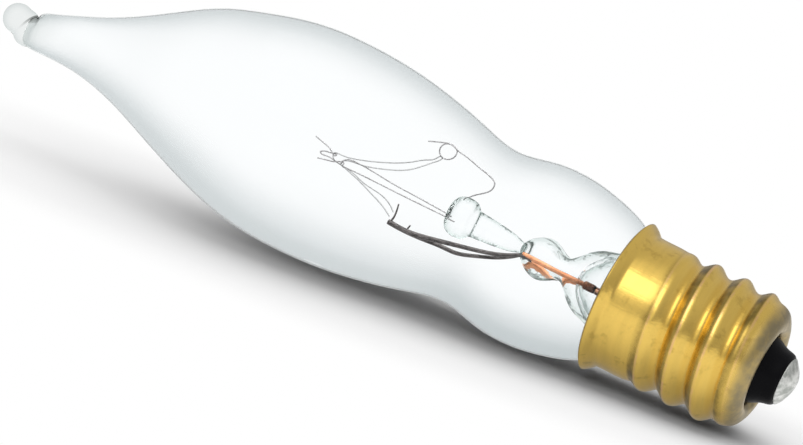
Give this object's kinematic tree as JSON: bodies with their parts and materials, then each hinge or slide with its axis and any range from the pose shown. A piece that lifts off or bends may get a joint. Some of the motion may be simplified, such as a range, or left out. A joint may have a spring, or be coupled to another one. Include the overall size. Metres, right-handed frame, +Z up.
{
  "type": "candle bulb",
  "caption": "Clear flame-shaped filament bulb with a bent tip and a small screw base, lying on its side.",
  "frame": {"origin": "on the table, under the middle of the overall box of the bulb as it lies", "axes": "+X from the glass tip towards the contact end, +Z up from the table, +Y across"},
  "size_m": [0.0742, 0.0184, 0.0187],
  "materials": {
    "clear_glass": "clear, blown, glossy",
    "stem_glass": "clear, drawn, glossy",
    "brass_sheet": "thin rolled sheet, polished",
    "black_glass": "opaque black, moulded, glossy",
    "cement": "baked cement, matt",
    "copper_wire": "copper-coated wire, dull red",
    "nickel_wire": "drawn nickel wire, grey",
    "support_wire": "thin drawn wire, dark grey",
    "filament": "fine wound coil, dark grey",
    "solder": "soft solder, mottled grey"
  },
  "bodies": {
    "root": {"glass_envelope": "clear_glass", "stem_glass": "stem_glass", "arbor": "stem_glass", "dumet_seal_a": "copper_wire", "dumet_seal_b": "copper_wire", "lead_inner_a": "nickel_wire", "lead_inner_b": "nickel_wire", "lead_outer_a": "copper_wire", "lead_outer_b": "copper_wire", "support_a": "support_wire", "support_b": "support_wire", "support_top": "support_wire", "filament": "filament", "base_shell": "brass_sheet", "basing_cement": "cement", "insulator": "black_glass", "contact_eyelet": "brass_sheet", "solder_tip": "solder", "side_solder": "solder"}
  },
  "joints": []
}
